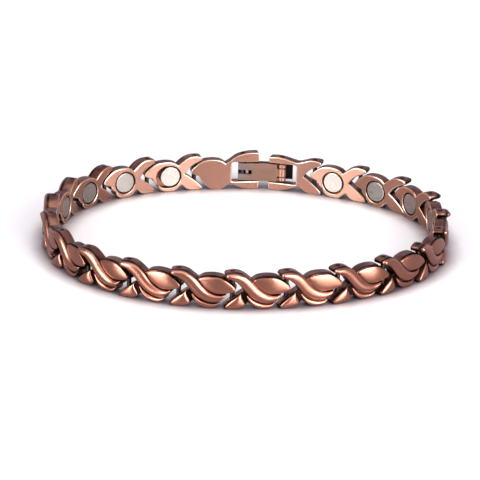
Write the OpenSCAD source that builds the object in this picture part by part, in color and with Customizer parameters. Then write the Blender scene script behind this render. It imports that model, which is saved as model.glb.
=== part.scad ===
// Link bracelet in antique copper with a magnet in each link, closed and lying on its side.
// Each link is drawn in its own frame: X runs from its tail pin to its nose pin, +Y points
// into the loop and Z goes up the band. The parts then follow one another from pin to pin
// round the loop, and each bends a little from the one before it.

/* [Loop] */
// Distance between the two hinge pins of one magnet link
link_pitch = 9; // [8.9:0.05:9.2]
// Bend at the clasp's hinge pin and at its catch bar, in degrees
clasp_bend = 12; // [8:1:14]

/* [Link] */
// Height of the band at the links' upper lobes
band_h = 6.5; // [6.3:0.1:6.8]
// Thickness of a link without its raised ornament
plate_t = 1.9; // [1.85:0.05:2.1]
// Height of the ribbon over the plate
ribbon_rise = 0.8; // [0.6:0.05:1]
// Height of the leaf over the plate
leaf_rise = 0.6; // [0.4:0.05:0.8]
// Height of the crescent over the plate
crescent_rise = 0.5; // [0.4:0.05:0.7]
// Height of the fin over the plate
fin_rise = 0.6; // [0.4:0.05:0.8]

/* [Pins and magnets] */
// Diameter of a hinge pin
pin_d = 0.8; // [0.7:0.05:0.9]
// Running clearance round a pin, on the radius
pin_clearance = 0.05; // [0.03:0.01:0.08]
// Depth of a pin's ends below the band's edges
pin_sink = 0.2; // [0.1:0.05:0.3]
// Diameter of a magnet
magnet_d = 3.7; // [3.4:0.1:3.8]
// Thickness of a magnet
magnet_t = 1.35; // [1.2:0.05:1.4]
// Diameter of the pocket for a magnet
pocket_d = 4.2; // [4:0.1:4.3]
// Extra length of the first link's pocket, which is oval
wide_pocket_l = 0.6; // [0:0.1:0.8]
// Depth of the pocket for a magnet
pocket_depth = 1.45; // [1.4:0.05:1.5]

/* [Clasp] */
// Distance from the tail link's pin to the clasp's hinge pin
tail_pitch = 6.25; // [6.2:0.05:6.4]
// Distance from the clasp's hinge pin to the catch bar
clasp_pitch = 7.35; // [7.2:0.05:7.5]
// Distance from the catch bar to the plate link's pin
plate_pitch = 9; // [8.9:0.05:9.1]
// Length of the tail link's fork beyond the clasp's hinge pin
tail_fork_l = 2.35; // [2.2:0.05:2.4]
// Length of the plate link's fork beyond the catch bar
plate_fork_l = 2.95; // [2.8:0.05:3]
// Height of the plate link's fork
plate_fork_h = 6.95; // [6.9:0.05:7.1]
// Height of the two forks' slots
slot_h = 3.8; // [3.7:0.05:3.9]
// Width of the clasp's two plates
clasp_w = 3.2; // [3:0.05:3.3]
// Thickness of the clasp's sheet metal
sheet_t = 0.4; // [0.35:0.05:0.45]
// Diameter of the knuckles round the clasp's hinge pin
knuckle_d = 1.5; // [1.4:0.05:1.5]

/* [Hidden] */
// How the chain lies: its bend at each pin between two magnet links, in degrees
bends = [16, 19.5, 20.5, 16.5, 16.5, 17.5, 18.5, 16.5, 14.5, 13.5, 11, 13, 15.5, 18, 20.5, 13.5,
    23.5, 21.5, 13.5];
link_count = len(bends) + 1;
link_numbers = [1:link_count];
function numbered(name, i) = str(name, i < 10 ? "_0" : "_", i);

$fn = 48;
copper = [0.66, 0.40, 0.32];
nickel = [0.80, 0.80, 0.78];
steel = [0.55, 0.50, 0.47];
inner_y = plate_t / 2;
outer_y = -plate_t / 2;
bore_d = pin_d + 2 * pin_clearance;
cut = 1;

// The tables below are drawn for a band of this height
drawn_h = 6.5;
height_scale = band_h / drawn_h;
curve_steps = 2;

// Outline of a link seen from outside, as smooth runs of [x, z] that meet in corners.
// The tail's points are measured from the tail pin and the nose's from the nose pin.
neck_top = [3.2, 4.95];
neck_bottom = [2.5, 1.1];
notch = [1.95, 3.2];
lobe_under_run = [notch, [1.25, 4.15], [0.4, 4.85], [-0.4, 5.25], [-1.15, 5.55]];
lobe_end_run = [[-1.15, 5.55], [-1.35, 5.9], [-1.15, 6.3]];
lobe_top_run = [[-1.15, 6.3], [-0.3, 6.46], [0.7, 6.46], [1.6, 6.15], [2.4, 5.6], neck_top];
fin_right_run = [neck_bottom, [2.15, 0.75], [1.65, 0.3], [0.9, 0]];
fin_tip_run = [[-0.9, 0], [-1.4, 0.12], [-1.4, 0.5]];
fin_top_run = [[-1.4, 0.5], [-0.8, 1.15], [-0.1, 1.75], [0.8, 2.45], notch];
nose_neck_top = [-5.8, 4.95];
nose_neck_bottom = [-6.5, 1.1];
leaf_top_run = [nose_neck_top, [-5, 5.5], [-3.6, 5.76], [-2.1, 5.66], [-1.1, 5.25], [-0.25, 4.6],
    [0.4, 4]];
nose_tip_run = [[0.4, 4], [0.65, 3.5], [0.4, 3.1]];
leaf_under_run = [[0.4, 3.1], [-0.4, 2.8], [-0.9, 2.6]];
ribbon_end_run = [[-0.9, 2.6], [-1.05, 2.2], [-1.45, 1.7], [-2, 1.35]];
crescent_end_run = [[-2, 1.35], [-2.1, 0.8], [-2.7, 0.25], [-3.5, 0]];
crescent_start_run = [[-5, 0], [-5.55, 0.3], [-6, 0.75], nose_neck_bottom];

// Raised ornament: [x, z, half width, rise as a share of the crest's] along each crest
ribbon_rows = [
    [-1.2, 5.95, 0.3, 0.6], [-0.8, 5.93, 0.42, 0.85], [-0.1, 5.8, 0.6, 1], [0.7, 5.6, 0.78, 1],
    [1.55, 5.1, 0.94, 1], [2.4, 4.3, 1.02, 1], [3.2, 3.35, 1.02, 1], [4.15, 2.5, 0.95, 1],
    [5.25, 1.95, 0.84, 1], [6.35, 1.8, 0.64, 0.9], [7.3, 2, 0.38, 0.8], [7.85, 2.4, 0.12, 0.5]];
leaf_rows = [
    [-5.45, 4.9, 0.12, 0.6], [-5.05, 4.85, 0.4, 0.8], [-4.3, 4.65, 0.85, 0.95],
    [-3.4, 4.35, 1.22, 1], [-2.4, 4.1, 1.42, 1], [-1.5, 3.9, 1.3, 1],
    [-0.6, 3.7, 0.95, 0.9], [0.1, 3.56, 0.62, 0.75], [0.5, 3.5, 0.3, 0.5]];
crescent_rows = [
    [-6.6, 2.2, 0.12, 0.4], [-6.15, 1.6, 0.3, 0.8], [-5.5, 1, 0.44, 1], [-4.7, 0.62, 0.46, 1],
    [-3.8, 0.46, 0.38, 1], [-2.9, 0.52, 0.3, 0.9], [-2.3, 0.8, 0.12, 0.5]];
fin_rows = [
    [1.2, 2.5, 0.12, 0.35], [0.9, 2, 0.6, 0.85], [0.7, 1.45, 1.08, 1], [0.55, 0.95, 1.45, 0.95],
    [0.25, 0.5, 1.5, 0.8], [0, 0.15, 1.1, 0.5]];
// Section of a raised form: [offset as a share of the half width, share of the rise]
round_section = [[-1, 0.3], [-0.6, 0.8], [0, 1], [0.6, 0.8], [1, 0.3]];
leaf_section = [[-1, 0.5], [-0.5, 0.9], [0, 1], [0.5, 0.9], [1, 0.5]];
relief_root = 0.3;

// Magnet pocket, measured from the nose pin
pocket_x = -3.95;
pocket_z = 2.85;

function blend(a, b, c, d, t) =
    0.5 * (2 * b + (c - a) * t + (2 * a - 5 * b + 4 * c - d) * t * t
        + (3 * b - a - 3 * c + d) * t * t * t);
// Points along a smooth run, without its last one, which starts the next run
function smooth(run) = [
    for (i = [0:len(run) - 2]) for (k = [0:curve_steps - 1])
        blend(run[max(i - 1, 0)], run[i], run[i + 1], run[min(i + 2, len(run) - 1)],
            k / curve_steps)];
function joined(runs) = [for (run = runs) each smooth(run)];
function scaled(points) = [for (p = points) [p[0], p[1] * height_scale]];
function moved(points, x) = [for (p = points) [p[0] + x, p[1]]];

// Half outlines, clockwise seen from outside
function tail_upper(top_run) = scaled(joined([lobe_under_run, lobe_end_run, top_run]));
tail_lower = scaled(joined([fin_right_run, [[0.9, 0], [-0.9, 0]], fin_tip_run, fin_top_run]));
nose_half = scaled(joined([
    leaf_top_run, nose_tip_run, leaf_under_run, ribbon_end_run, crescent_end_run,
    [[-3.5, 0], [-5, 0]], crescent_start_run]));

// Loop: parts laid from pin to pin, and then one bend after each part
function along(angle) = [cos(angle), sin(angle)];
function laid(lengths, turns) = [
    for (i = 0, p = [0, 0], a = 0; i <= len(lengths);
        p = p + (i < len(lengths) ? lengths[i] : 0) * along(a),
        a = a + (i < len(turns) ? turns[i] : 0),
        i = i + 1) p];
function turned(p, a) = [p[0] * cos(a) - p[1] * sin(a), p[0] * sin(a) + p[1] * cos(a)];
function chord(points) = points[len(points) - 1] - points[0];
// A row of points turned so that its chord points along -X when it is read on round the loop
function levelled(points, direction) =
    let (d = direction * chord(points), a = 180 - atan2(d[1], d[0])) [for (p = points) turned(p, a)];

clasp_row = levelled(laid([tail_pitch, clasp_pitch, plate_pitch], [clasp_bend, clasp_bend]), 1);
link_lengths = [for (i = link_numbers) link_pitch];
// The bends are scaled so that the links leave open what the clasp's three parts close
function closing_share(lo, hi, tries) =
    let (mid = (lo + hi) / 2)
    tries == 0 ? mid
    : norm(chord(laid(link_lengths, mid * bends))) > norm(chord(clasp_row))
        ? closing_share(mid, hi, tries - 1) : closing_share(lo, mid, tries - 1);
link_row = levelled(laid(link_lengths, closing_share(0.9, 1.1, 22) * bends), -1);
laid_pins = concat(link_row, [for (i = [1, 2]) link_row[link_count] + clasp_row[i] - clasp_row[0]]);
pin_count = len(laid_pins);
function heading(i) =
    let (d = laid_pins[i % pin_count] - laid_pins[i - 1]) atan2(d[1], d[0]);

// A flat plate with its faces at y_in, towards the wrist, and y_out
module upright(y_in, y_out) {
    translate([0, y_in, 0]) rotate([90, 0, 0]) linear_extrude(y_in - y_out) children();
}

module plate(points) {
    upright(inner_y, outer_y) polygon(points);
}

// A raised form lofted along a table of rows, with its foot sunk into the plate. Its sections
// lie across the crest, or level.
module raised(rows, section, rise, level = false) {
    last = len(rows) - 1;
    corners = len(section) + 2;
    ring = function (i)
        let (
            row = rows[i],
            run = rows[min(i + 1, last)] - rows[max(i - 1, 0)],
            side = level ? [1, 0] : [-run[1], run[0]] / norm([run[0], run[1]]),
            at = function (share, height)
                [row[0] + side[0] * row[2] * share, outer_y - height,
                 (row[1] + side[1] * row[2] * share) * height_scale])
        concat(
            [at(section[0][0], -relief_root)],
            [for (s = section) at(s[0], s[1] * row[3] * rise)],
            [at(section[len(section) - 1][0], -relief_root)]);
    points = [for (i = [0:last]) each ring(i)];
    sides = [
        for (i = [0:last - 1]) for (k = [0:corners - 1])
            let (a = i * corners + k, b = i * corners + (k + 1) % corners)
            each [[a, b, a + corners], [b, b + corners, a + corners]]];
    start = [for (k = [corners - 1:-1:0]) k];
    end = [for (k = [0:corners - 1]) last * corners + k];
    polyhedron(points, concat(sides, [start, end]), convexity = 4);
}

module nose_relief() {
    raised(leaf_rows, leaf_section, leaf_rise);
    raised(crescent_rows, round_section, crescent_rise);
}

// A bore along the band, through all its height
module bore(x) {
    translate([x, 0, -cut]) cylinder(d = bore_d, h = plate_fork_h + 2 * cut);
}

module pin(x, height) {
    translate([x, 0, pin_sink]) cylinder(d = pin_d, h = height - 2 * pin_sink);
}

module pocket(extra_l) {
    upright(inner_y + cut, inner_y - pocket_depth)
        translate([link_pitch + pocket_x, pocket_z * height_scale]) {
            if (extra_l > 0) {
                for (side = [-1, 1]) translate([side * extra_l / 2, 0]) circle(d = pocket_d);
                square([extra_l, pocket_d], center = true);
            } else {
                circle(d = pocket_d);
            }
        }
}

// One cast link with its ribbon, leaf, crescent and fin
module link(extra_pocket_l) {
    color(copper)
        difference() {
            union() {
                plate(concat(tail_upper(lobe_top_run), moved(nose_half, link_pitch), tail_lower));
                raised(ribbon_rows, round_section, ribbon_rise);
                raised(fin_rows, round_section, fin_rise, level = true);
                translate([link_pitch, 0, 0]) nose_relief();
            }
            bore(0);
            bore(link_pitch);
            pocket(extra_pocket_l);
        }
}

// A nickel-plated disc on the floor of a link's pocket
module magnet() {
    color(nickel)
        upright(inner_y - pocket_depth + magnet_t, inner_y - pocket_depth)
            translate([link_pitch + pocket_x, pocket_z * height_scale]) circle(d = magnet_d);
}

// Sets its children in the frame of part i, counted round the loop from the first link
module at_part(i) {
    translate([pins[i - 1][0], pins[i - 1][1], 0]) rotate([0, 0, heading(i)]) children();
}

// The clasp's three parts run on from the last link
tail_part = link_count + 1;
clasp_part = link_count + 2;
plate_part = link_count + 3;

// Steel pins of all the hinges between links, each loose in its bore
module link_pins() {
    color(steel)
        for (i = [0:link_count]) translate([pins[i][0], pins[i][1], 0]) pin(0, band_h);
}

// The forks' slots share one middle height
slot_z = 3.3;
slot_low = slot_z - slot_h / 2;
slot_corner_r = 0.4;
tail_slot_start = 3.3;
plate_slot_start = 2.1;
fork_corner = 0.4;

// A slot with two round corners at its closed end, open towards the other fork
module fork_slot(closed_x, open_x) {
    inward = sign(open_x - closed_x);
    corner_x = closed_x + inward * slot_corner_r;
    low = slot_low + slot_corner_r;
    high = slot_low + slot_h - slot_corner_r;
    upright(inner_y + cut, outer_y - cut) {
        translate([min(corner_x, open_x), slot_low]) square([abs(open_x - corner_x), slot_h]);
        translate([min(closed_x, corner_x), low]) square([slot_corner_r, high - low]);
        for (z = [low, high]) translate([corner_x, z]) circle(r = slot_corner_r);
    }
}

tail_fork_end = tail_pitch + tail_fork_l;
tail_fork_h = 6.3;
tail_fork_top_run = [[-1.15, 6.3], [-0.3, 6.46], [0.8, 6.46], [2, 6.05], [3.1, 5.75], [4.2, 5.9],
    [5.4, 6.2], [6.8, 6.38], [tail_fork_end - fork_corner, tail_fork_h]];
tail_fork_bottom_run = [[6.6, 0], [5.2, 0.25], [3.9, 0.75], neck_bottom];
tail_fork_outline = concat(
    tail_upper(tail_fork_top_run),
    scaled([[tail_fork_end - fork_corner, tail_fork_h], [tail_fork_end, tail_fork_h - fork_corner],
        [tail_fork_end, fork_corner], [tail_fork_end - fork_corner, 0]]),
    scaled(smooth(tail_fork_bottom_run)), tail_lower);

tail_ribbon_rows = concat([for (i = [0:4]) ribbon_rows[i]], [[2.3, 4.7, 0.5, 0.5]]);

// The tail link: the two lobes of a link, and a fork that holds the clasp's hinge pin
module end_link_tail() {
    color(copper)
        difference() {
            union() {
                plate(tail_fork_outline);
                raised(tail_ribbon_rows, round_section, ribbon_rise);
                raised(fin_rows, round_section, fin_rise, level = true);
            }
            bore(0);
            bore(tail_pitch);
            fork_slot(tail_slot_start, tail_fork_end + cut);
        }
}

// The plate link is drawn from the catch bar, with its fork running back from it
plate_fork_bottom_run = [nose_neck_bottom, [-7.4, 0.75], [-8.4, 0.28], [-9.8, 0]];
plate_fork_top_run = [[-10.3, plate_fork_h], [-9.1, 6.75], [-7.8, 6.3], [-6.7, 5.5], nose_neck_top];
plate_fork_end = -plate_pitch - plate_fork_l;
plate_link_outline = concat(
    nose_half, scaled(smooth(plate_fork_bottom_run)), [[-9.8, 0]],
    [[plate_fork_end + fork_corner, 0], [plate_fork_end, fork_corner],
     [plate_fork_end, plate_fork_h - fork_corner], [plate_fork_end + fork_corner, plate_fork_h]],
    smooth(plate_fork_top_run));

// The plate link: the nose of a link with no magnet, and a fork that holds the catch bar
module end_link_plate() {
    color(copper)
        difference() {
            translate([plate_pitch, 0, 0]) {
                plate(plate_link_outline);
                nose_relief();
            }
            bore(0);
            bore(plate_pitch);
            fork_slot(plate_slot_start, -plate_fork_l - cut);
        }
}

// Height of each fork's edge over its own pin, a little under the sloping top
hinge_pin_h = 6.1;
catch_bar_h = 6.6;

module clasp_hinge_pin() {
    color(steel) pin(0, hinge_pin_h);
}

module clasp_catch_bar() {
    color(steel) pin(0, catch_bar_h);
}

// The clasp is drawn from its hinge pin, with the catch bar at clasp_pitch
plates_low = slot_z - clasp_w / 2;
base_gap = 0.1;
base_y_in = inner_y - 0.05;
base_y_out = base_y_in - sheet_t;
base_start = 0.9;
base_end = clasp_pitch + 0.75;
catch_slot_start = clasp_pitch - 1.8;
catch_slot_h = 0.8;
lip_y_out = 0.1;
lip_t = 0.25;
base_knuckle_h = 1.5;
base_neck_l = base_start + 0.5;
cover_knuckle_h = 0.7;

// A tube round the hinge pin, with a neck that joins it to a plate at neck_y
module knuckle(z, height, neck_y, neck_x) {
    difference() {
        union() {
            translate([0, 0, z]) cylinder(d = knuckle_d, h = height);
            translate([0, min(0, neck_y), z]) cube([neck_x, abs(neck_y), height]);
        }
        bore(0);
    }
}

// The clasp's inner plate: a knuckle on the hinge pin, a slot and two lips at the catch bar
module clasp_base() {
    color(steel)
        difference() {
            union() {
                upright(base_y_in, base_y_out)
                    translate([base_start, plates_low]) square([base_end - base_start, clasp_w]);
                upright(base_y_in, lip_y_out)
                    translate([base_end - lip_t, plates_low]) square([lip_t, clasp_w]);
                knuckle(slot_z - base_knuckle_h / 2, base_knuckle_h, base_y_in, base_neck_l);
            }
            upright(inner_y + cut, outer_y - cut)
                translate([catch_slot_start, slot_z - catch_slot_h / 2])
                    square([base_end - catch_slot_start + cut, catch_slot_h]);
        }
}

cover_y_in = -knuckle_d / 2 - 0.06;
cover_y_out = cover_y_in - sheet_t;
cover_start = -1.95;
cover_end = base_end + 0.1;
flange_end = clasp_pitch - pin_d / 2 - 0.35;
flange_t = 0.3;
flange_y_in = base_y_out - 0.1;
tab_x = clasp_pitch - 1.15;
tab_l = 0.45;
tab_h = 0.6;

// The clasp's outer lever: a channel on two knuckles, with a tab for the base plate's slot
module clasp_cover() {
    color(steel)
        union() {
            upright(cover_y_in, cover_y_out)
                translate([cover_start, plates_low]) square([cover_end - cover_start, clasp_w]);
            for (z = [plates_low, plates_low + clasp_w - flange_t])
                upright(flange_y_in, cover_y_in - sheet_t / 2)
                    translate([base_start, z]) square([flange_end - base_start, flange_t]);
            for (z = [plates_low, plates_low + clasp_w - cover_knuckle_h])
                knuckle(z, cover_knuckle_h, cover_y_in - sheet_t / 2, knuckle_d / 2);
            upright(base_y_in - base_gap, cover_y_in - sheet_t / 2)
                translate([tab_x, slot_z - tab_h / 2]) square([tab_l, tab_h]);
        }
}

// The loop is moved to the middle of its box. The points of a link, of the clasp and of the
// plate link that can reach furthest out are [x, y] from their first pin.
link_reach = [[0.3, outer_y - ribbon_rise], [3.9, outer_y - ribbon_rise],
    [5.9, outer_y - leaf_rise], [9.6, outer_y]];
clasp_reach = [[cover_start, cover_y_out], [cover_end, cover_y_out]];
fork_reach = [[-plate_fork_l, outer_y]];
function reach(i, points) = [for (p = points) laid_pins[i - 1] + turned(p, heading(i))];
outermost = concat(
    [for (i = link_numbers) each reach(i, link_reach)],
    reach(clasp_part, clasp_reach), reach(plate_part, fork_reach));
outermost_x = [for (p = outermost) p[0]];
outermost_y = [for (p = outermost) p[1]];
centre = [min(outermost_x) + max(outermost_x), min(outermost_y) + max(outermost_y)] / 2;
pins = [for (p = laid_pins) p - centre];

for (i = link_numbers) {
    at_part(i) link(i == 1 ? wide_pocket_l : 0);
    at_part(i) magnet();
}
link_pins();
at_part(tail_part) end_link_tail();
at_part(plate_part) end_link_plate();
at_part(clasp_part) clasp_hinge_pin();
at_part(plate_part) clasp_catch_bar();
at_part(clasp_part) clasp_base();
at_part(clasp_part) clasp_cover();
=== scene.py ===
import math
import bmesh
import bpy
from mathutils import Matrix, Quaternion, Vector


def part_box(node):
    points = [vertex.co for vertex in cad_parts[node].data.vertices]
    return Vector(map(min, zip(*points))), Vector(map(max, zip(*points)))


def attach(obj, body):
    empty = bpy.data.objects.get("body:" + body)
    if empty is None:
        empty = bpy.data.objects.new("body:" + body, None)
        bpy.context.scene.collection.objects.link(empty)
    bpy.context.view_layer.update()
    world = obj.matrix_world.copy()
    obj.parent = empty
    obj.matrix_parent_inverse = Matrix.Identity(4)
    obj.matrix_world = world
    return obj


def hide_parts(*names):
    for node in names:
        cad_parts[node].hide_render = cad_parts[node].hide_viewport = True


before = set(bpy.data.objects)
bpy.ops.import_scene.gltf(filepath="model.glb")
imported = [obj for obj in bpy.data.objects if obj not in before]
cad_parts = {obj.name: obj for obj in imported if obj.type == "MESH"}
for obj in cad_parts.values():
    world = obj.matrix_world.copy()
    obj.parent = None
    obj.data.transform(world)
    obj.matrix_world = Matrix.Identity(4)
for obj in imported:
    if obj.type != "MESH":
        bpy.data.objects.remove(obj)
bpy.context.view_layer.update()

# Cast links
# Each of the twenty links is one casting in zinc alloy, copper plated and antiqued. Its tail is a
# V of two lobes and its nose a point, and a ribbon, a leaf, a crescent and a fin stand up from
# its outer face. Links are drawn in millimetres: X from tail pin to nose pin, +Y into the loop.
mm = 0.001
half_plate = 0.95
link_pitch = 9.0
neck_top = (3.2, 4.95)
neck_bottom = (2.5, 1.1)
notch = (1.95, 3.2)
tongue = (
    (notch, (1.25, 4.15), (0.4, 4.85), (-0.4, 5.25), (-1.15, 5.55)),
    ((-1.15, 5.55), (-1.35, 5.9), (-1.15, 6.3)),
)
lobe_top = ((-1.15, 6.3), (-0.3, 6.46), (0.7, 6.46), (1.6, 6.15), (2.4, 5.6), neck_top)
lower_lobe = (
    (neck_bottom, (2.15, 0.75), (1.65, 0.3), (0.9, 0.0)),
    ((0.9, 0.0), (-0.9, 0.0)),
    ((-0.9, 0.0), (-1.4, 0.12), (-1.4, 0.5)),
    ((-1.4, 0.5), (-0.8, 1.15), (-0.1, 1.75), (0.8, 2.45), notch),
)
nose = (
    (neck_top, (4.0, 5.5), (5.4, 5.76), (6.9, 5.66), (7.9, 5.25), (8.75, 4.6), (9.4, 4.0)),
    ((9.4, 4.0), (9.65, 3.5), (9.4, 3.1)),
    ((9.4, 3.1), (8.6, 2.8), (8.1, 2.6)),
    ((8.1, 2.6), (7.95, 2.2), (7.55, 1.7), (7.0, 1.35)),
    ((7.0, 1.35), (6.9, 0.8), (6.3, 0.25), (5.5, 0.0)),
    ((5.5, 0.0), (4.0, 0.0)),
    ((4.0, 0.0), (3.45, 0.3), (3.0, 0.75), neck_bottom),
)

# Crests of the raised forms: x, z, half width, share of the rise
ribbon = (
    (-1.3, 5.94, 0.22, 0.3), (-1.12, 5.95, 0.36, 0.75), (-0.8, 5.93, 0.45, 0.95), (-0.1, 5.8, 0.62, 1),
    (0.7, 5.58, 0.79, 1), (1.55, 5.1, 0.94, 1), (2.4, 4.3, 1.02, 1), (3.2, 3.35, 1.03, 1),
    (4.15, 2.5, 0.96, 1), (5.25, 1.95, 0.84, 1), (6.35, 1.8, 0.65, 0.92), (7.3, 2.02, 0.4, 0.82),
    (7.75, 2.3, 0.22, 0.65), (7.95, 2.46, 0.1, 0.4),
)
leaf = (
    (3.5, 4.88, 0.1, 0.3), (3.75, 4.88, 0.32, 0.42), (4.15, 4.76, 0.62, 0.56), (4.85, 4.52, 1.0, 0.77),
    (5.7, 4.27, 1.27, 0.94), (6.6, 4.08, 1.4, 1), (7.5, 3.9, 1.27, 0.94), (8.3, 3.72, 0.98, 0.78),
    (8.95, 3.58, 0.66, 0.6), (9.35, 3.5, 0.4, 0.45), (9.56, 3.48, 0.2, 0.3),
)
crescent = (
    (2.35, 2.3, 0.1, 0.4), (2.85, 1.62, 0.28, 0.8), (3.5, 1.0, 0.42, 1), (4.3, 0.62, 0.46, 1),
    (5.2, 0.46, 0.4, 1), (6.1, 0.52, 0.32, 0.92), (6.65, 0.78, 0.18, 0.7), (6.9, 1.0, 0.08, 0.45),
)
fin = (
    (1.3, 2.66, 0.06, 0.25), (1.1, 2.36, 0.28, 0.62), (0.9, 2.0, 0.62, 0.88), (0.7, 1.45, 1.12, 1),
    (0.55, 0.95, 1.5, 0.97), (0.35, 0.55, 1.62, 0.82), (0.1, 0.25, 1.35, 0.55), (0.0, 0.1, 1.1, 0.3),
)
ribbon_rise, leaf_rise, crescent_rise, fin_rise = 0.8, 0.6, 0.5, 0.6
form_root = 0.5


def smooth_run(points, steps):
    """Points along a smooth curve through the given ones."""
    last = len(points) - 1
    made = []
    for i in range(last):
        around = [points[min(max(k, 0), last)] for k in (i - 1, i, i + 1, i + 2)]
        for t in (step / steps for step in range(steps)):
            made.append(tuple(
                0.5 * (2 * b + (c - a) * t + (2 * a - 5 * b + 4 * c - d) * t * t
                       + (3 * b - a - 3 * c + d) * t ** 3)
                for a, b, c, d in zip(*around)))
    return made + [points[last]]


def outline_of(*runs, steps=4):
    """One outline of [x, z] from runs that each end where the next one starts."""
    return [point for run in runs for point in smooth_run(run, steps if len(run) > 2 else 1)[:-1]]


same_place, flat_angle = 1e-4, 1e-3


def turned(profile, steps=48):
    """A solid turned round Z from (radius, height) points that start and end on the axis."""
    bm = bmesh.new()
    points = [bm.verts.new((radius, 0, height)) for radius, height in profile]
    edges = [bm.edges.new(pair) for pair in zip(points, points[1:])]
    bmesh.ops.spin(bm, geom=points + edges, cent=(0, 0, 0), axis=(0, 0, 1), angle=math.tau,
                   steps=steps, use_merge=True)
    bmesh.ops.remove_doubles(bm, verts=bm.verts, dist=same_place)
    bmesh.ops.dissolve_limit(bm, angle_limit=flat_angle, verts=bm.verts, edges=bm.edges)
    bmesh.ops.recalc_face_normals(bm, faces=bm.faces)
    return bm


def as_object(bm, name):
    """Puts a bmesh into the scene as an object, and frees it."""
    mesh = bpy.data.meshes.new(name)
    bm.to_mesh(mesh)
    bm.free()
    piece = bpy.data.objects.new(name, mesh)
    bpy.context.scene.collection.objects.link(piece)
    return piece


def cut_from(bm, cutters):
    """The solid of bm with each cutter's solid taken out of it."""
    stock = as_object(bm, "stock")
    tools = [as_object(cutter, "cutter") for cutter in cutters]
    for tool in tools:
        cut = stock.modifiers.new("cut", "BOOLEAN")
        cut.solver, cut.operation, cut.object = "EXACT", "DIFFERENCE", tool
    evaluated = stock.evaluated_get(bpy.context.evaluated_depsgraph_get())
    made = bmesh.new()
    made.from_mesh(evaluated.to_mesh())
    for done in [stock, *tools]:
        bpy.data.objects.remove(done)
    return made


pocket_x, pocket_z, pocket_r, pocket_depth = 5.05, 2.85, 2.1, 1.45
wide_pocket_l = 0.6
bore_r, bore_top = 0.45, 8
outer_rim_r, pocket_rim_r = 0.2, 0.15
link_rim_w, end_rim_w, inner_rim_h = 0.28, 0.2, 0.15
overshoot = 1.0


def pocket_cutter(extra_length):
    """The round pocket for a magnet with its rim rounded over, or an oval one longer by extra_length."""
    rim = [math.radians(turn) for turn in (15, 40, 65, 90)]
    mouth = [(pocket_r + pocket_rim_r * (1 - math.sin(a)), pocket_rim_r * (1 - math.cos(a))) for a in rim]
    bm = turned((
        (0, -overshoot), (pocket_r + pocket_rim_r, -overshoot), *mouth,
        (pocket_r, pocket_depth), (0, pocket_depth)), steps=64)
    for vert in bm.verts:
        if abs(vert.co.x) > merge_gap:
            vert.co.x += math.copysign(extra_length / 2, vert.co.x)
    bm.transform(Matrix.Translation((pocket_x, half_plate, pocket_z)) @ Matrix.Rotation(math.pi / 2, 4, "X"))
    return bm


def bore_cutter(x):
    """A bore for a pin, through the whole height of the band."""
    bm = turned(((0, -overshoot), (bore_r, -overshoot), (bore_r, bore_top), (0, bore_top)), steps=32)
    bm.transform(Matrix.Translation((x, 0, 0)))
    return bm


inset_step, sharpest_share, sweeps = 0.03, 0.6, 3
merge_gap = 1e-3


def inset(outline, depth):
    """A clockwise outline moved inwards; an edge that would turn over is drawn to a point."""
    ring, count = list(outline), len(outline)
    steps = max(1, math.ceil(depth / inset_step))
    for _ in range(steps):
        moved = []
        for k, here in enumerate(ring):
            before = next(ring[k - n] for n in range(1, count)
                          if (ring[k - n] - here).length > same_place)
            after = next(ring[(k + n) % count] for n in range(1, count)
                         if (ring[(k + n) % count] - here).length > same_place)
            run = (here - before).normalized() + (after - here).normalized()
            inwards = Vector((run.y, -run.x))
            reach = depth / steps / max(sharpest_share, inwards.length / 2)
            moved.append(here + inwards.normalized() * reach)
        for _ in range(sweeps):
            for k in range(count):
                if (moved[k] - moved[k - 1]).dot(ring[k] - ring[k - 1]) < 0:
                    moved[k] = moved[k - 1] = (moved[k] + moved[k - 1]) / 2
        ring = moved
    return ring


def plate_casting(outline, cutters, inner_rim_w):
    """The flat body of a casting with the rims of its two faces rounded over, bored and pocketed."""
    outline = [Vector(point) for point in outline]
    arc = [math.radians(turn) for turn in (0, 22.5, 45, 67.5, 90)]
    layers = [(outer_rim_r * (1 - math.cos(a)), outer_rim_r * (1 - math.sin(a)) - half_plate)
              for a in reversed(arc)]
    layers += [(inner_rim_w * (1 - math.cos(a)), half_plate - inner_rim_h * (1 - math.sin(a))) for a in arc]
    bm = bmesh.new()
    rings = [[bm.verts.new((point.x, y, point.y)) for point in inset(outline, depth)] for depth, y in layers]
    for low, high in zip(rings, rings[1:]):
        for k in range(len(low)):
            bm.faces.new((low[k - 1], low[k], high[k], high[k - 1]))
    for cap in (rings[0], rings[-1]):
        bm.faces.new(cap)
    bmesh.ops.remove_doubles(bm, verts=bm.verts, dist=merge_gap)
    bmesh.ops.recalc_face_normals(bm, faces=bm.faces)
    return cut_from(bm, cutters)


# Relief of a casting's parts: 0 is blackened, 1 rubbed bare, and above that polished, with a
# paler tint that is partly a painted highlight, then a pale painted highlight on the rims
buried_relief, pocket_relief, low_crest_relief = 0.4, 0.4, 0.4
inner_face_relief, painted_rim_highlight_relief, painted_highlight_top_relief = 1.5, 2, 1.9
wall_relief, painted_lit_top_relief, painted_lit_top_normal = 0, 0.34, 0.4
link_face_relief, end_face_relief = 0.08, 0.7
face_slack, rim_slack = 0.003, 0.03


def relief_layer(bm):
    """The vertex attribute that tells bare high copper, 1, from dark recesses, 0."""
    return bm.verts.layers.float.get("relief") or bm.verts.layers.float.new("relief")


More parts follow.
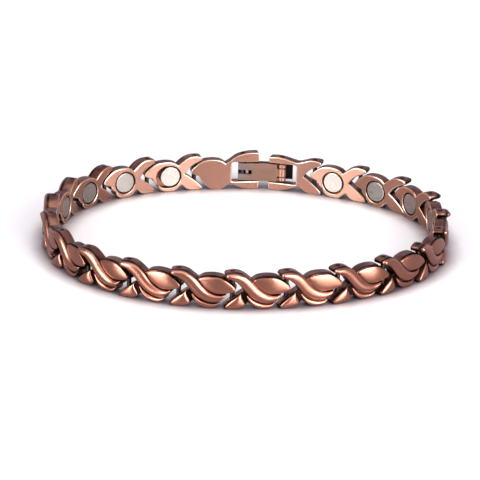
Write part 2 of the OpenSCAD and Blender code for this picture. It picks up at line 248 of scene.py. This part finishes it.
def raise_form(bm, crest, section, rise, level=False):
    """A form cast proud of the outer face: its section runs along its crest, square to it or level."""
    relief = relief_layer(bm)
    rows = smooth_run(crest, 3)
    share = [(section[0][0], -form_root / rise), *section, (section[-1][0], -form_root / rise)]
    ring, edges, faces = [], [], []
    for i, (x, z, half_width, height) in enumerate(rows):
        before, after = rows[max(i - 1, 0)], rows[min(i + 1, len(rows) - 1)]
        run = Vector((after[0] - before[0], after[1] - before[1])).normalized()
        if level:
            run = Vector((0, -1))
        places = [(x - run.y * half_width * s, -half_plate - rise * (height * h if h > 0 else h),
                   z + run.x * half_width * s) for s, h in share]
        if not ring:
            ring = [bm.verts.new(place) for place in places]
            edges = [bm.edges.new((ring[k - 1], ring[k])) for k in range(len(ring))]
            faces.append(bm.faces.new(ring))
        else:
            drawn = bmesh.ops.extrude_edge_only(bm, edges=edges)["geom"]
            new = {v for v in drawn if isinstance(v, bmesh.types.BMVert)}
            faces += [f for f in drawn if isinstance(f, bmesh.types.BMFace)]
            ring = [next(e.other_vert(v) for e in v.link_edges if e.other_vert(v) in new) for v in ring]
            edges = [bm.edges.get((ring[k - 1], ring[k])) for k in range(len(ring))]
        for vert, place, (s, h) in zip(ring, places, share):
            vert.co = place
            crest_relief = low_crest_relief + (1 - low_crest_relief) * height
            vert[relief] = buried_relief if h < 0 else h * crest_relief
    faces.append(bm.faces.new(ring))
    bmesh.ops.recalc_face_normals(bm, faces=faces)


def rounded_section(foot, steps=12):
    """A round back over a foot: (offset, height) as shares of the half width and the rise."""
    angles = [math.pi * (k / steps - 0.5) for k in range(steps + 1)]
    return [(math.sin(a), foot + (1 - foot) * math.cos(a)) for a in angles]


def domed_section(edge, steps=10):
    """A low dome with a crisp edge that is rounded over a hair."""
    foot, brow = edge - 0.2, edge - 0.07
    brow_w, dome_w = 0.99, 0.95
    dome = [2 * k / steps - 1 for k in range(steps + 1)]
    dome = [(dome_w * s, 1 - (1 - edge) * s * s) for s in dome]
    return [(-1, foot), (-brow_w, brow), *dome, (brow_w, brow), (1, foot)]


ribbon_section, leaf_section = rounded_section(0.12), domed_section(0.66)
crescent_section, fin_section = rounded_section(0.15), rounded_section(0.3)
nose_forms = ((leaf, leaf_section, leaf_rise), (crescent, crescent_section, crescent_rise))
fin_form = (fin, fin_section, fin_rise, True)
forms = ((ribbon, ribbon_section, ribbon_rise), *nose_forms, fin_form)


def colour_casting(bm, outer_relief):
    """Sets the relief of a plate's own vertices: polished inner face, a painted highlight on its rims,
    blackened walls, and painted light on the walls that face up.
    """
    relief = relief_layer(bm)
    bm.normal_update()
    for vert in bm.verts:
        inner_depth, outer_depth = half_plate - vert.co.y, half_plate + vert.co.y
        if inner_depth < face_slack:
            vert[relief] = inner_face_relief
        # The rounded rims of the inner face: relief for a pale painted highlight all round them.
        elif inner_depth < inner_rim_h - rim_slack:
            vert[relief] = painted_rim_highlight_relief
        elif math.hypot(vert.co.x - pocket_x, vert.co.z - pocket_z) < pocket_r + wide_pocket_l:
            vert[relief] = pocket_relief
        elif outer_depth < outer_rim_r - rim_slack:
            vert[relief] = outer_relief
        # Walls that face up are left lighter than the others: painted light from above.
        elif vert.normal.z > painted_lit_top_normal:
            vert[relief] = painted_lit_top_relief
        else:
            vert[relief] = wall_relief


def link_casting(extra_length):
    """A whole link in its own millimetres."""
    bm = plate_casting(outline_of(*tongue, lobe_top, *nose, *lower_lobe),
                       [pocket_cutter(extra_length), bore_cutter(0), bore_cutter(link_pitch)], link_rim_w)
    colour_casting(bm, link_face_relief)
    for form in forms:
        raise_form(bm, *form)
    return bm


pin_spread = 2 * mm
crease_angle = math.radians(42)


def pins_round_loop(node):
    """The middle of each pin of a CAD node, in order round the loop from the clasp."""
    groups = []
    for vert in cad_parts[node].data.vertices:
        group = next((g for g in groups if (g[0] - vert.co.xy).length < pin_spread), None)
        if group is None:
            groups.append([vert.co.xy])
        else:
            group.append(vert.co.xy)
    middles = []
    for group in groups:
        low = Vector([min(p[k] for p in group) for k in (0, 1)])
        high = Vector([max(p[k] for p in group) for k in (0, 1)])
        middles.append((low + high) / 2)
    return sorted(middles, key=lambda p: (math.atan2(p.y, p.x) - math.pi / 2) % math.tau)


def place_between(start, end):
    """Takes a part's own millimetres to its place, with X running from one pin to another."""
    run = end - start
    return (Matrix.Translation((start.x, start.y, 0))
            @ Matrix.Rotation(math.atan2(run.y, run.x), 4, "Z") @ Matrix.Scale(mm, 4))


def moved_to(bm, place):
    """A copy of a bmesh, moved to a place."""
    bm = bm.copy()
    bm.transform(place)
    return bm


def settle(bm, name, place, material, body, node):
    """Moves a finished part into place, smooths it, hangs it on its body and hides the CAD node it stands
    for.
    """
    piece = as_object(moved_to(bm, place), name)
    piece.data.materials.append(material)
    piece.data.shade_smooth()
    piece.data.set_sharp_from_angle(angle=crease_angle)
    even = piece.modifiers.new("even normals", "WEIGHTED_NORMAL")
    even.keep_sharp = True
    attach(piece, body)
    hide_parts(node)
    return piece


def linear(hex_colour):
    """A colour given as sRGB hex, as linear red, green, blue and alpha."""
    parts = [int(hex_colour[k:k + 2], 16) / 255 for k in (0, 2, 4)]
    return [p / 12.92 if p <= 0.04045 else ((p + 0.055) / 1.055) ** 2.4 for p in parts] + [1]


def add_node(tree, kind, inputs, **settings):
    """Adds a node, and sets or links its inputs by name or number."""
    node = tree.nodes.new(kind)
    for name, value in settings.items():
        setattr(node, name, value)
    for name, value in inputs.items():
        if isinstance(value, bpy.types.NodeSocket):
            tree.links.new(value, node.inputs[name])
        else:
            node.inputs[name].default_value = value
    return node


def blank_material(name):
    """A new material with its node tree emptied, and the tree."""
    material = bpy.data.materials.new(name)
    material.use_nodes = True
    material.node_tree.nodes.clear()
    return material, material.node_tree


def rescale(tree, value, low, high, to_low, to_high, **settings):
    """A value's range from low to high mapped onto another, and held beyond its ends."""
    return add_node(tree, "ShaderNodeMapRange", {
        "Value": value, "From Min": low, "From Max": high, "To Min": to_low, "To Max": to_high},
        **settings).outputs[0]


def blend(tree, share, low, high):
    """A mix of two colours, each given as hex or as a socket."""
    low, high = (linear(colour) if isinstance(colour, str) else colour for colour in (low, high))
    return add_node(tree, "ShaderNodeMix", {0: share, 6: low, 7: high}, data_type="RGBA").outputs[2]


def end_in_surface(tree, inputs):
    """Ends a material's tree in a principled surface with these inputs."""
    surface = add_node(tree, "ShaderNodeBsdfPrincipled", inputs)
    add_node(tree, "ShaderNodeOutputMaterial", {"Surface": surface.outputs[0]})


# Antique copper: plating over a cast alloy, darkened in a bath and rubbed bright on the high
# spots. The eye sees salmon copper on crests, near black brown in grooves and on walls, with
# painted light making the upward-facing walls lighter, a polished face on the wrist side whose
# paler tint is partly a painted highlight, and pale painted highlights on the rims round it, all
# in a satin sheen.
copper, tree = blank_material("antique_copper_plating")
where = add_node(tree, "ShaderNodeTexCoord", {})
height = add_node(tree, "ShaderNodeAttribute", {}, attribute_name="relief").outputs["Fac"]
blotches = add_node(tree, "ShaderNodeTexNoise", {
    "Vector": where.outputs["Object"], "Scale": 0.45 / mm, "Detail": 3.0, "Roughness": 0.55})
grain = add_node(tree, "ShaderNodeTexNoise", {
    "Vector": where.outputs["Object"], "Scale": 5 / mm, "Detail": 2.0, "Roughness": 0.6})
patchy = add_node(tree, "ShaderNodeMath", {
    0: blotches.outputs["Fac"], 1: 0.5, 2: -0.25}, operation="MULTIPLY_ADD")
patchy = add_node(tree, "ShaderNodeMath", {0: patchy.outputs[0], 1: height}, operation="ADD")
# Patina rubbed off the high spots; the upward-facing walls also come out lighter here, as painted light.
rubbed_and_lit_tops = rescale(tree, patchy.outputs[0], 0.1, 0.75, 0, 1, interpolation_type="SMOOTHSTEP")
# The polished inner face: a real polish, whose paler tint is partly a painted highlight.
polished_and_painted_highlight = rescale(tree, height, 1, inner_face_relief, 0, 1)
# Pale painted highlight on the rims of the inner face.
painted_rim_highlight = rescale(tree, height, inner_face_relief, painted_highlight_top_relief, 0, 1)
tint = blend(tree, rubbed_and_lit_tops, "20100c", "d48464")
tint = blend(tree, polished_and_painted_highlight, tint, "d49176")
tint = blend(tree, painted_rim_highlight, tint, "fbd2b6")
relief_bump = add_node(tree, "ShaderNodeBump", {
    "Strength": 0.12, "Distance": 0.02 * mm, "Height": grain.outputs["Fac"]})
end_in_surface(tree, {
    "Base Color": tint, "Metallic": 1.0, "Roughness": rescale(tree, rubbed_and_lit_tops, 0, 1, 0.4, 0.29),
    "Normal": relief_bump.outputs["Normal"], "Coat Weight": rescale(tree, rubbed_and_lit_tops, 0, 0.7, 0.04, 0.7),
    "Coat Roughness": 0.24, "Coat IOR": 2.1})

hinges = pins_round_loop("link_pins")
link_spots = [place_between(*pair) for pair in zip(hinges, hinges[1:])]
common_link = link_casting(0)
first_link = link_casting(wide_pocket_l)
for number, spot in enumerate(link_spots, 1):
    settle(first_link if number == 1 else common_link, f"cast_link_{number:02d}", spot, copper,
           "band", f"link_{number:02d}")

# Magnets
# Small nickel-plated discs with a chamfered rim, glued into the links' pockets on the wrist side.
# Nickel gives a pale, faintly warm satin face with a bright ring round it.
nickel, tree = blank_material("satin_nickel_plating")
where = add_node(tree, "ShaderNodeTexCoord", {})
haze = add_node(tree, "ShaderNodeTexNoise", {
    "Vector": where.outputs["Object"], "Scale": 0.9 / mm, "Detail": 4.0, "Roughness": 0.6})
end_in_surface(tree, {
    "Base Color": blend(tree, haze.outputs["Fac"], "cbc3ba", "d4cdc5"), "Metallic": 1.0,
    "Roughness": rescale(tree, haze.outputs["Fac"], 0.3, 0.7, 0.26, 0.32)})

magnet_r, magnet_t, magnet_chamfer, chamfer_bulge = 1.85, 1.35, 0.14, 0.04
magnet = turned((
    (0, 0), (magnet_r, 0), (magnet_r, magnet_t - magnet_chamfer),
    (magnet_r - chamfer_bulge, magnet_t - chamfer_bulge), (magnet_r - magnet_chamfer, magnet_t),
    (0, magnet_t)), steps=64)
magnet.transform(Matrix.Translation((pocket_x, half_plate - pocket_depth, pocket_z))
                 @ Matrix.Rotation(-math.pi / 2, 4, "X"))
first_magnet_shift = -0.3
for number, spot in enumerate(link_spots, 1):
    if number == 1:
        spot = spot @ Matrix.Translation((first_magnet_shift, 0, 0))
    settle(magnet, f"magnet_disc_{number:02d}", spot, nickel, "band", f"magnet_{number:02d}")

# Hinge pins
# Drawn steel wire with domed ends, one through each joint of the chain, sunk a little below the
# edges of the band. A dark grey, darker than bare steel as painted shade for the gaps between
# links where the pins show, with fine drawing lines along it.
steel, tree = blank_material("drawn_steel_wire")
where = add_node(tree, "ShaderNodeTexCoord", {})
lines = add_node(tree, "ShaderNodeMapping", {
    "Vector": where.outputs["Object"], "Scale": (6 / mm, 6 / mm, 0.2 / mm)})
drawn = add_node(tree, "ShaderNodeTexNoise", {"Vector": lines.outputs[0], "Scale": 1.0, "Detail": 2.0})
# Dark grey base colour: painted shade for the gaps the pins are seen in.
end_in_surface(tree, {
    "Base Color": linear("524b49"), "Metallic": 1.0,
    "Roughness": rescale(tree, drawn.outputs["Fac"], 0.3, 0.7, 0.2, 0.38)})

pin_r, pin_dome, dome_share, dome_dip = 0.4, 0.1, 0.6, 0.25
pin_foot, link_pin_top, clasp_pin_top, catch_bar_top = 0.2, 6.3, 5.9, 6.4


def wire_pin(low, high):
    """A standing pin with its ends domed."""
    return turned((
        (0, low), (pin_r * dome_share, low + pin_dome * dome_dip), (pin_r, low + pin_dome),
        (pin_r, high - pin_dome), (pin_r * dome_share, high - pin_dome * dome_dip), (0, high)), steps=24)


def gather(parts):
    """Several bmeshes as one, each where it stands."""
    whole = bmesh.new()
    for part in parts:
        mesh = bpy.data.meshes.new("part")
        part.to_mesh(mesh)
        whole.from_mesh(mesh)
        part.free()
        bpy.data.meshes.remove(mesh)
    return whole


band_pin = wire_pin(pin_foot, link_pin_top)
pins = gather([
    moved_to(band_pin, Matrix.Translation((h.x, h.y, 0)) @ Matrix.Scale(mm, 4)) for h in hinges])
settle(pins, "hinge_pins", Matrix.Identity(4), steel, "band", "link_pins")

# End links
# The two castings that close the chain: a tail of two lobes, and a plain oval plate, each with a
# fork that holds its side of the clasp. The tail is drawn from its link pin to the clasp's pin, and
# the plate link from the catch bar to its link pin.


def middle_of(node):
    """The place in plan of a CAD node that stands for one pin."""
    low, high = (Vector(corner).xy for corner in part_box(node))
    return (low + high) / 2


clasp_pin, catch_bar = middle_of("clasp_hinge_pin"), middle_of("clasp_catch_bar")
tail_spot = place_between(hinges[-1], clasp_pin)
clasp_spot = place_between(clasp_pin, catch_bar)
plate_spot = place_between(catch_bar, hinges[0])
tail_pitch, clasp_pitch, plate_pitch = 6.25, 7.35, 9.0
slot_z, slot_h, slot_corner = 3.3, 3.8, 0.4
fork_corner, corner_ease = 0.4, 0.1
tail_end, tail_h = tail_pitch + 2.35, 6.3
fork_tip, plate_h = -2.95, 6.95
tail_slot_start, plate_slot_start = 3.3, 2.1


def fork_end(end, closed, height, into):
    """Runs round a fork's open end and its slot, from the top corner to the bottom one."""
    high, low = slot_z + slot_h / 2, slot_z - slot_h / 2
    tip, tip_eased = end - fork_corner * into, end - corner_ease * into
    floor, floor_eased = closed + slot_corner * into, closed + corner_ease * into
    return (
        ((tip, height), (tip_eased, height - corner_ease), (end, height - fork_corner)),
        ((end, height - fork_corner), (end, high)),
        ((end, high), (floor, high)),
        ((floor, high), (floor_eased, high - corner_ease), (closed, high - slot_corner)),
        ((closed, high - slot_corner), (closed, low + slot_corner)),
        ((closed, low + slot_corner), (floor_eased, low + corner_ease), (floor, low)),
        ((floor, low), (end, low)),
        ((end, low), (end, fork_corner)),
        ((end, fork_corner), (tip_eased, corner_ease), (tip, 0)),
    )


tail_outline = outline_of(
    *tongue,
    ((-1.15, 6.3), (-0.3, 6.46), (0.8, 6.46), (2, 6.05), (3.1, 5.75), (4.2, 5.9), (5.4, 6.2), (6.8, 6.38),
     (tail_end - fork_corner, tail_h)),
    *fork_end(tail_end, tail_slot_start, tail_h, 1),
    ((tail_end - fork_corner, 0), (6.6, 0)),
    ((6.6, 0), (5.2, 0.25), (3.9, 0.75), neck_bottom),
    *lower_lobe)
tail = plate_casting(tail_outline, [bore_cutter(0), bore_cutter(tail_pitch)], end_rim_w)
colour_casting(tail, end_face_relief)
ribbon_end = (*ribbon[:6], (2.0, 4.8, 0.8, 0.8), (2.3, 4.55, 0.5, 0.5))
raise_form(tail, ribbon_end, ribbon_section, ribbon_rise)
raise_form(tail, *fin_form)
settle(tail, "tail_end_link", tail_spot, copper, "band", "end_link_tail")

plate_outline = outline_of(
    *nose,
    (neck_bottom, (1.6, 0.75), (0.6, 0.28), (-0.8, 0)),
    ((-0.8, 0), (fork_tip + fork_corner, 0)),
    *(run[::-1] for run in reversed(fork_end(fork_tip, plate_slot_start, plate_h, -1))),
    ((fork_tip + fork_corner, plate_h), (-1.3, plate_h)),
    ((-1.3, plate_h), (-0.1, 6.75), (1.2, 6.3), (2.3, 5.5), neck_top))
plate_link = plate_casting(plate_outline, [bore_cutter(plate_pitch), bore_cutter(0)], end_rim_w)
colour_casting(plate_link, end_face_relief)
for form in nose_forms:
    raise_form(plate_link, *form)
settle(plate_link, "plate_end_link", plate_spot, copper, "band", "end_link_plate")

# Clasp pins
# The same wire as in the chain: one pin hinges the clasp in the tail link's fork, and a fixed bar
# crosses the plate link's fork, where the clasp snaps on.
settle(wire_pin(pin_foot, clasp_pin_top), "clasp_pivot_pin", clasp_spot, steel,
       "band", "clasp_hinge_pin")
settle(wire_pin(pin_foot, catch_bar_top), "catch_rod", plate_spot, steel,
       "band", "clasp_catch_bar")

# Clasp base
# Pressed steel sheet, 0.4 mm: a strip with a slot at its free end, where two lips turn down over
# the bar, and a knuckle rolled round the pin. Brushed along its length, tinted brown by wear, and
# painted dark inside the lever's channel as painted shade.
sheet, tree = blank_material("brushed_clasp_steel")
clasp_plane_y, channel_half, channel_edge = 30.2 * mm, 0.55 * mm, 0.7 * mm
where = add_node(tree, "ShaderNodeTexCoord", {})
along = add_node(tree, "ShaderNodeMapping", {
    "Vector": where.outputs["Object"], "Scale": (0.3 / mm, 5 / mm, 5 / mm)})
brushed = add_node(tree, "ShaderNodeTexNoise", {"Vector": along.outputs[0], "Scale": 1.0, "Detail": 3.0})
axes = add_node(tree, "ShaderNodeSeparateXYZ", {"Vector": where.outputs["Object"]})
tarnish = rescale(tree, axes.outputs["X"], -4 * mm, 1.5 * mm, 0, 0.85, interpolation_type="SMOOTHSTEP")
# A dark band about the clasp's middle plane: painted shade on the inside of the lever's channel.
depth = add_node(tree, "ShaderNodeMath", {0: axes.outputs["Y"], 1: clasp_plane_y}, operation="SUBTRACT")
depth = add_node(tree, "ShaderNodeMath", {0: depth.outputs[0]}, operation="ABSOLUTE")
painted_shade_inside = rescale(tree, depth.outputs[0], channel_half, channel_edge, 1, 0)
tint = blend(tree, painted_shade_inside, blend(tree, tarnish, "d8d0ce", "eeb496"), "3c302c")
scored = add_node(tree, "ShaderNodeBump", {
    "Strength": 0.2, "Distance": 0.02 * mm, "Height": brushed.outputs["Fac"]})
end_in_surface(tree, {
    "Base Color": tint, "Metallic": 1.0, "Normal": scored.outputs["Normal"],
    "Roughness": rescale(tree, brushed.outputs["Fac"], 0.3, 0.7, 0.3, 0.45)})


def block(low, high, rounding=0.06):
    """A block between two corners, with its edges eased."""
    bm = bmesh.new()
    bmesh.ops.create_cube(bm, size=1)
    low, high = Vector(low), Vector(high)
    bmesh.ops.scale(bm, verts=bm.verts, vec=high - low)
    bmesh.ops.translate(bm, verts=bm.verts, vec=(low + high) / 2)
    bmesh.ops.bevel(bm, geom=bm.edges, offset=rounding, offset_type="OFFSET", segments=2,
                    profile=0.5, affect="EDGES", material=-1)
    return bm


def knuckle_tube(low, high):
    """A tube round the clasp's pin, between two heights."""
    ease = 0.08
    return turned((
        (bore_r, low), (knuckle_r - ease, low), (knuckle_r, low + ease), (knuckle_r, high - ease),
        (knuckle_r - ease, high), (bore_r, high), (bore_r, low)), steps=40)


knuckle_r = 0.75
sheet_t, clasp_w = 0.4, 3.2
plates_low, plates_high = slot_z - clasp_w / 2, slot_z + clasp_w / 2
base_in, base_out = half_plate - 0.05, half_plate - 0.45
base_start, base_end = 0.9, clasp_pitch + 0.75
base_knuckle_half = 0.75
tongue_start, tongue_low, tongue_half, tongue_lap = 0.35, 0.1, 0.74, 0.5
catch_slot_start, catch_slot_half, catch_slot_rounding = clasp_pitch - 1.8, 0.4, 0.12
lip_t, lip_out, lip_rounding = 0.25, 0.1, 0.11
catch_slot_low, catch_slot_high = slot_z - catch_slot_half, slot_z + catch_slot_half
strip = block((base_start, base_out, plates_low), (base_end, base_in, plates_high))
strip = cut_from(strip, [block(
    (catch_slot_start, -2 * overshoot, catch_slot_low),
    (base_end + overshoot, 2 * overshoot, catch_slot_high), catch_slot_rounding)])
base_parts = [
    strip,
    knuckle_tube(slot_z - base_knuckle_half, slot_z + base_knuckle_half),
    block((tongue_start, tongue_low, slot_z - tongue_half),
          (base_start + tongue_lap, base_out + 0.05, slot_z + tongue_half)),
]
for lip_low, lip_high in ((plates_low, catch_slot_low), (catch_slot_high, plates_high)):
    base_parts.append(block(
        (base_end - lip_t, lip_out, lip_low), (base_end, base_in, lip_high), lip_rounding))
settle(gather(base_parts), "clasp_strip", clasp_spot, sheet, "band", "clasp_base")

# Clasp lever
# The outer half of the clasp, a channel pressed from the same sheet: its two knuckles turn on the
# pin, its sides close round the strip, and a tab drops into the strip's slot.
cover_in = -knuckle_r - 0.06
cover_out, cover_root = cover_in - sheet_t, cover_in - 0.2
cover_start, cover_end, cover_rounding = -1.95, base_end + 0.1, 0.1
side_end, side_t, side_in = clasp_pitch - pin_r - 0.35, 0.3, base_out - 0.1
tab_x, tab_l, tab_half, tab_in = clasp_pitch - 1.15, 0.45, 0.3, base_in - 0.1
cover_knuckle_h, arm_start, arm_rounding = 0.7, 0.4, 0.04
lever_parts = [
    block((cover_start, cover_out, plates_low), (cover_end, cover_in, plates_high), cover_rounding)]
for low in (plates_low, plates_high - side_t):
    lever_parts.append(block((base_start, cover_root, low), (side_end, side_in, low + side_t)))
for low in (plates_low, plates_high - cover_knuckle_h):
    high = low + cover_knuckle_h
    lever_parts.append(knuckle_tube(low, high))
    lever_parts.append(block((arm_start, cover_root, low), (knuckle_r, 0, high), arm_rounding))
lever_parts.append(block(
    (tab_x, cover_root, slot_z - tab_half), (tab_x + tab_l, tab_in, slot_z + tab_half)))
settle(gather(lever_parts), "clasp_lever_channel", clasp_spot, sheet,
       "clasp_lever", "clasp_cover")

# Table
# A sheet of white acrylic that the bracelet lies on. It is white to the eye, grey where the metal
# mirrors it, and dark within a few millimetres of the band, where no light gets under.
acrylic, tree = blank_material("white_acrylic")
contact_reach = 4.5 * mm
path = add_node(tree, "ShaderNodeLightPath", {})
openness = add_node(tree, "ShaderNodeAmbientOcclusion", {"Distance": contact_reach}, samples=8)
shelter = rescale(tree, openness.outputs["AO"], 0.45, 0.92, 0, 1)
contact = blend(tree, shelter, "706266", "fbfbfb")
end_in_surface(tree, {
    "Base Color": blend(tree, path.outputs["Is Camera Ray"], "858284", contact), "IOR": 1.8,
    "Roughness": rescale(tree, path.outputs["Is Camera Ray"], 0, 1, 0.2, 0.42)})
table_r = 2.5
bm = bmesh.new()
bmesh.ops.create_circle(bm, cap_ends=True, segments=64, radius=table_r)
table = as_object(bm, "table")
table.data.materials.append(acrylic)

# Lights and camera
# Two softboxes left and right of the camera, a broad one overhead, and a tent round it all that is
# white to the camera, pale lavender in the light it sheds, and grey with a paler back in mirrors.
focus = Vector((-0.3, -15.2, 6.5)) * mm
camera_turn, camera_rise, camera_roll = (math.radians(a) for a in (2.1, 20.6, 1.5))
camera_distance = 510.6 * mm


def seen_from(turn, rise, distance):
    """The point at a distance from the focus, turned from -Y towards +X and raised."""
    return focus + distance * Vector((
        math.sin(turn) * math.cos(rise), -math.cos(turn) * math.cos(rise), math.sin(rise)))


def aim(thing, at):
    """Puts a camera or a light at a point, looking at the focus."""
    thing.location = at
    thing.rotation_euler = (focus - at).to_track_quat("-Z", "Y").to_euler()
    bpy.context.scene.collection.objects.link(thing)


for name, turn, rise, distance, width, height, watts in (
        ("left_softbox", -46, 20, 1.1, 0.55, 0.7, 9),
        ("right_softbox", 45, 20, 1.1, 0.85, 0.7, 14),
        ("top_softbox", 0, 70, 0.9, 1.0, 1.0, 3.5)):
    lamp = bpy.data.lights.new(name, "AREA")
    lamp.shape, lamp.size, lamp.size_y, lamp.energy = "RECTANGLE", width, height, watts
    aim(bpy.data.objects.new(name, lamp), seen_from(math.radians(turn), math.radians(rise), distance))

world = bpy.data.worlds.new("light_tent")
world.use_nodes = True
tree = world.node_tree
tree.nodes.clear()
path = add_node(tree, "ShaderNodeLightPath", {})
sky = add_node(tree, "ShaderNodeTexCoord", {})
axes = add_node(tree, "ShaderNodeSeparateXYZ", {"Vector": sky.outputs["Generated"]})
backdrop = rescale(tree, axes.outputs["Y"], -0.1, 0.7, 0, 1, interpolation_type="SMOOTHSTEP")
tent = blend(tree, backdrop, "78727c", "b8b2c0")
tent = blend(tree, path.outputs["Is Diffuse Ray"], tent, "c6c1cb")
tent = blend(tree, path.outputs["Is Camera Ray"], tent, "ffffff")
glow = add_node(tree, "ShaderNodeBackground", {"Color": tent, "Strength": 1.0})
add_node(tree, "ShaderNodeOutputWorld", {"Surface": glow.outputs[0]})
bpy.context.scene.world = world
bpy.context.scene.view_settings.view_transform = "Standard"

camera = bpy.data.objects.new("camera", bpy.data.cameras.new("camera"))
camera.data.sensor_width, camera.data.lens = 36, 225
camera.data.clip_start, camera.data.clip_end = 0.01, 20
aim(camera, seen_from(camera_turn, camera_rise, camera_distance))
upright = camera.rotation_euler.to_quaternion()
camera.rotation_euler = (upright @ Quaternion((0, 0, 1), camera_roll)).to_euler()
bpy.context.scene.camera = camera
